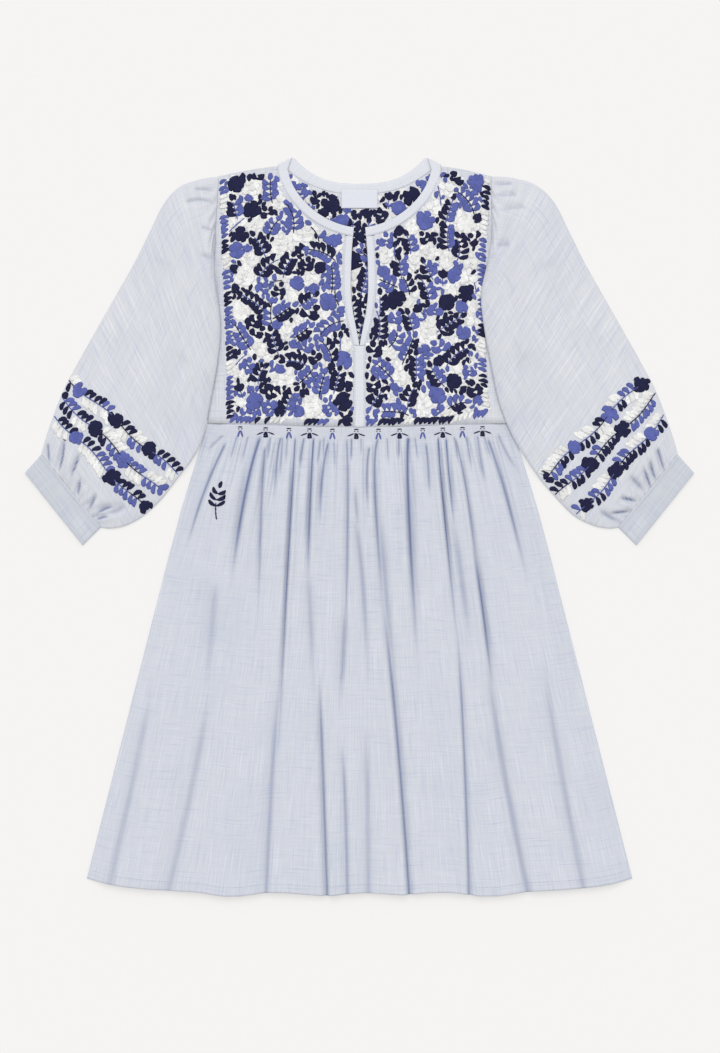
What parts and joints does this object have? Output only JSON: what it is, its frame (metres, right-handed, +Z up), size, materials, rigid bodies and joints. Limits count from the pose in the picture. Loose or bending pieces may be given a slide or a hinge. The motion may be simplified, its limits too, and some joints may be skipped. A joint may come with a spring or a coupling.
{
  "type": "mini dress",
  "caption": "Mini dress laid flat, with an embroidered yoke, slit neck, full gathered sleeves with cuffs, and a gathered skirt with a smocked strip at its top.",
  "frame": {"origin": "on the surface that the dress lies on, under the middle of its outline", "axes": "+X to the right as one looks down on the front of the dress, +Y from the hem to the neck, +Z up from the surface"},
  "size_m": [0.8362, 0.9212, 0.0192],
  "materials": {
    "body_cloth": "pale blue slub chambray, matt, with fine pale streaks along both threads",
    "embroidered_cloth": "the same chambray closely covered with satin-stitched leaves and flowers in navy, mid blue and white thread",
    "trim_cloth": "doubled pale chambray with edge stitching, matt",
    "label_tape": "plain woven satin tape, blank"
  },
  "bodies": {
    "root": {"yoke_front_left": "embroidered_cloth", "yoke_front_right": "embroidered_cloth", "yoke_back": "embroidered_cloth", "neckband_front_left": "trim_cloth", "neckband_front_right": "trim_cloth", "neckband_back": "trim_cloth", "slit_binding_left": "trim_cloth", "slit_binding_right": "trim_cloth", "front_strip": "trim_cloth", "neck_label": "label_tape", "skirt_front": "body_cloth", "skirt_back": "body_cloth", "sleeve_left": "body_cloth", "sleeve_right": "body_cloth", "cuff_left": "trim_cloth", "cuff_right": "trim_cloth"}
  },
  "joints": []
}
